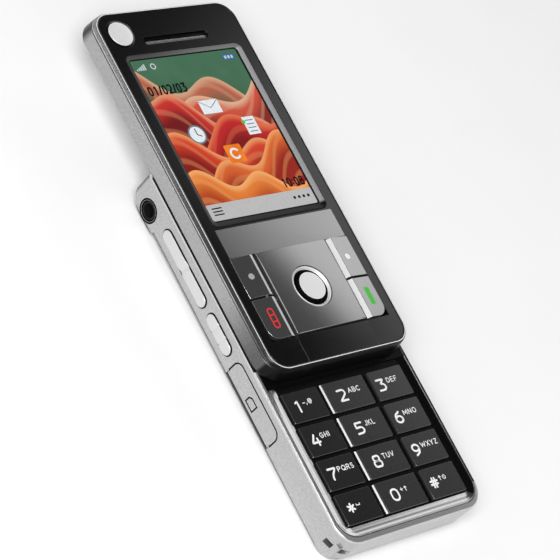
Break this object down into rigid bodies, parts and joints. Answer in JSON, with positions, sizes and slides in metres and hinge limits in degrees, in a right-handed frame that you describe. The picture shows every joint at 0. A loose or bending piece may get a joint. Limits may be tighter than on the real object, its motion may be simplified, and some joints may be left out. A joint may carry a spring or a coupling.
{
  "type": "slider phone",
  "caption": "Slide-open mobile phone lying on its back: lower half with number keys, battery and camera, upper half with colour display and menu keys, on a steel guide.",
  "frame": {"origin": "centre of the bounding box at the level of the surface it lies on, slid fully open, display up", "axes": "+X to the right-hand side seen from the display, +Y along the phone to the earpiece end, +Z out of the display"},
  "size_m": [0.0476, 0.1406, 0.0171],
  "materials": {
    "silver_metal": "satin silver lacquer",
    "bright_rim": "polished bevel",
    "silver_key": "satin silver",
    "black_plastic": "fine satin black",
    "gloss_black": "high gloss black",
    "dark_metal": "dark grey metallic",
    "dark_bezel": "dark grey gloss",
    "display_glass": "backlit display",
    "grey_gloss": "dark grey metallic gloss",
    "key_plastic": "dark grey with white digits",
    "chrome_trim": "polished",
    "mesh_metal": "fine woven mesh",
    "satin_disc": "spun satin",
    "steel": "stamped sheet",
    "steel_dark": "blackened",
    "lens_glass": "coated window over the lens",
    "rubber_grey": "silicone sheet",
    "clear_film": "polyester film",
    "circuit_board": "solder mask",
    "battery_case": "label film",
    "grey_plastic": "moulded",
    "copper_foil": "foil",
    "flex_film": "polyimide film"
  },
  "bodies": {
    "lower_half": {"rear_housing": "silver_metal", "lower_rim": "bright_rim", "front_cover": "black_plastic", "keypad_surround": "chrome_trim", "keypad_trims": "chrome_trim", "key_mat": "rubber_grey", "dome_sheet": "clear_film", "main_board": "circuit_board", "shield_cans": "steel", "battery": "battery_case", "sim_holder": "steel", "card_socket": "steel", "camera_module": "black_plastic", "camera_window": "lens_glass", "loudspeaker": "black_plastic", "vibration_motor": "steel", "headset_jack": "black_plastic", "jack_ring": "black_plastic", "usb_socket": "steel", "antenna": "copper_foil", "guide_plate": "steel", "slide_springs": "steel", "main_flex": "flex_film", "housing_screws": "steel_dark"},
    "slider": {"slider_shell": "silver_metal", "slider_frame": "dark_metal", "front_panel": "gloss_black", "display_ring": "dark_bezel", "display_panel": "display_glass", "display_frame": "grey_plastic", "key_board": "circuit_board", "slide_plate": "steel", "earpiece_mesh": "mesh_metal", "earpiece": "black_plastic", "badge_disc": "satin_disc"},
    "key_1": {"key_1": "key_plastic"},
    "key_2": {"key_2": "key_plastic"},
    "key_3": {"key_3": "key_plastic"},
    "key_4": {"key_4": "key_plastic"},
    "key_5": {"key_5": "key_plastic"},
    "key_6": {"key_6": "key_plastic"},
    "key_7": {"key_7": "key_plastic"},
    "key_8": {"key_8": "key_plastic"},
    "key_9": {"key_9": "key_plastic"},
    "key_star": {"key_star": "key_plastic"},
    "key_0": {"key_0": "key_plastic"},
    "key_hash": {"key_hash": "key_plastic"},
    "volume_rocker": {"volume_rocker": "silver_key"},
    "side_key": {"side_key": "silver_key"},
    "camera_key": {"camera_key": "silver_key"},
    "card_door": {"card_door": "silver_metal"},
    "battery_cover": {"battery_cover": "silver_metal"},
    "nav_carrier": {"nav_carrier": "grey_plastic"},
    "nav_plate": {"nav_plate": "grey_gloss", "select_ring": "chrome_trim"},
    "select_key": {"select_key": "silver_key"},
    "soft_key_left": {"soft_key_left": "grey_gloss"},
    "soft_key_right": {"soft_key_right": "grey_gloss"},
    "end_key": {"end_key": "grey_gloss"},
    "send_key": {"send_key": "grey_gloss"}
  },
  "joints": [
    {"name": "slide", "type": "slide", "parent": "lower_half", "child": "slider", "axis": [0, 1, 0], "range_m": [-0.0412, 0], "deforming": ["main_flex"]},
    {"name": "press_key_1", "type": "slide", "parent": "lower_half", "child": "key_1", "axis": [0, 0, -1], "range_m": [0, 0.0003], "stiffness_N_per_m": 2000},
    {"name": "press_key_2", "type": "slide", "parent": "lower_half", "child": "key_2", "axis": [0, 0, -1], "range_m": [0, 0.0003], "stiffness_N_per_m": 2000},
    {"name": "press_key_3", "type": "slide", "parent": "lower_half", "child": "key_3", "axis": [0, 0, -1], "range_m": [0, 0.0003], "stiffness_N_per_m": 2000},
    {"name": "press_key_4", "type": "slide", "parent": "lower_half", "child": "key_4", "axis": [0, 0, -1], "range_m": [0, 0.0003], "stiffness_N_per_m": 2000},
    {"name": "press_key_5", "type": "slide", "parent": "lower_half", "child": "key_5", "axis": [0, 0, -1], "range_m": [0, 0.0003], "stiffness_N_per_m": 2000},
    {"name": "press_key_6", "type": "slide", "parent": "lower_half", "child": "key_6", "axis": [0, 0, -1], "range_m": [0, 0.0003], "stiffness_N_per_m": 2000},
    {"name": "press_key_7", "type": "slide", "parent": "lower_half", "child": "key_7", "axis": [0, 0, -1], "range_m": [0, 0.0003], "stiffness_N_per_m": 2000},
    {"name": "press_key_8", "type": "slide", "parent": "lower_half", "child": "key_8", "axis": [0, 0, -1], "range_m": [0, 0.0003], "stiffness_N_per_m": 2000},
    {"name": "press_key_9", "type": "slide", "parent": "lower_half", "child": "key_9", "axis": [0, 0, -1], "range_m": [0, 0.0003], "stiffness_N_per_m": 2000},
    {"name": "press_key_star", "type": "slide", "parent": "lower_half", "child": "key_star", "axis": [0, 0, -1], "range_m": [0, 0.0003], "stiffness_N_per_m": 2000},
    {"name": "press_key_0", "type": "slide", "parent": "lower_half", "child": "key_0", "axis": [0, 0, -1], "range_m": [0, 0.0003], "stiffness_N_per_m": 2000},
    {"name": "press_key_hash", "type": "slide", "parent": "lower_half", "child": "key_hash", "axis": [0, 0, -1], "range_m": [0, 0.0003], "stiffness_N_per_m": 2000},
    {"name": "rock_volume", "type": "hinge", "parent": "lower_half", "child": "volume_rocker", "pos_m": [-0.0216, 0.00525, 0.00625], "axis": [0, 0, 1], "range_deg": [-1.2, 1.2], "stiffness_Nm_per_rad": 0.3},
    {"name": "press_side_key", "type": "slide", "parent": "lower_half", "child": "side_key", "axis": [1, 0, 0], "range_m": [0, 0.0003], "stiffness_N_per_m": 2000},
    {"name": "press_camera_key", "type": "slide", "parent": "lower_half", "child": "camera_key", "axis": [-1, 0, 0], "range_m": [0, 0.0003], "stiffness_N_per_m": 2000},
    {"name": "open_card_door", "type": "hinge", "parent": "lower_half", "child": "card_door", "pos_m": [-0.0228, -0.03065, 0.00295], "axis": [0, -1, 0], "range_deg": [0, 95]},
    {"name": "battery_cover_slide", "type": "slide", "parent": "lower_half", "child": "battery_cover", "axis": [0, -1, 0], "range_m": [0, 0.005]},
    {"name": "nav_left_right", "type": "hinge", "parent": "slider", "child": "nav_carrier", "pos_m": [0, -0.0101, 0.0146], "axis": [0, 1, 0], "range_deg": [-1.3, 1.3], "stiffness_Nm_per_rad": 0.3},
    {"name": "nav_up_down", "type": "hinge", "parent": "nav_carrier", "child": "nav_plate", "pos_m": [0, -0.0101, 0.0146], "axis": [1, 0, 0], "range_deg": [-1.3, 1.3], "stiffness_Nm_per_rad": 0.3},
    {"name": "press_select", "type": "slide", "parent": "nav_plate", "child": "select_key", "axis": [0, 0, -1], "range_m": [0, 0.0003], "stiffness_N_per_m": 2000},
    {"name": "press_soft_key_left", "type": "slide", "parent": "slider", "child": "soft_key_left", "axis": [0, 0, -1], "range_m": [0, 0.0003], "stiffness_N_per_m": 2000},
    {"name": "press_soft_key_right", "type": "slide", "parent": "slider", "child": "soft_key_right", "axis": [0, 0, -1], "range_m": [0, 0.0003], "stiffness_N_per_m": 2000},
    {"name": "press_end_key", "type": "slide", "parent": "slider", "child": "end_key", "axis": [0, 0, -1], "range_m": [0, 0.0003], "stiffness_N_per_m": 2000},
    {"name": "press_send_key", "type": "slide", "parent": "slider", "child": "send_key", "axis": [0, 0, -1], "range_m": [0, 0.0003], "stiffness_N_per_m": 2000}
  ]
}
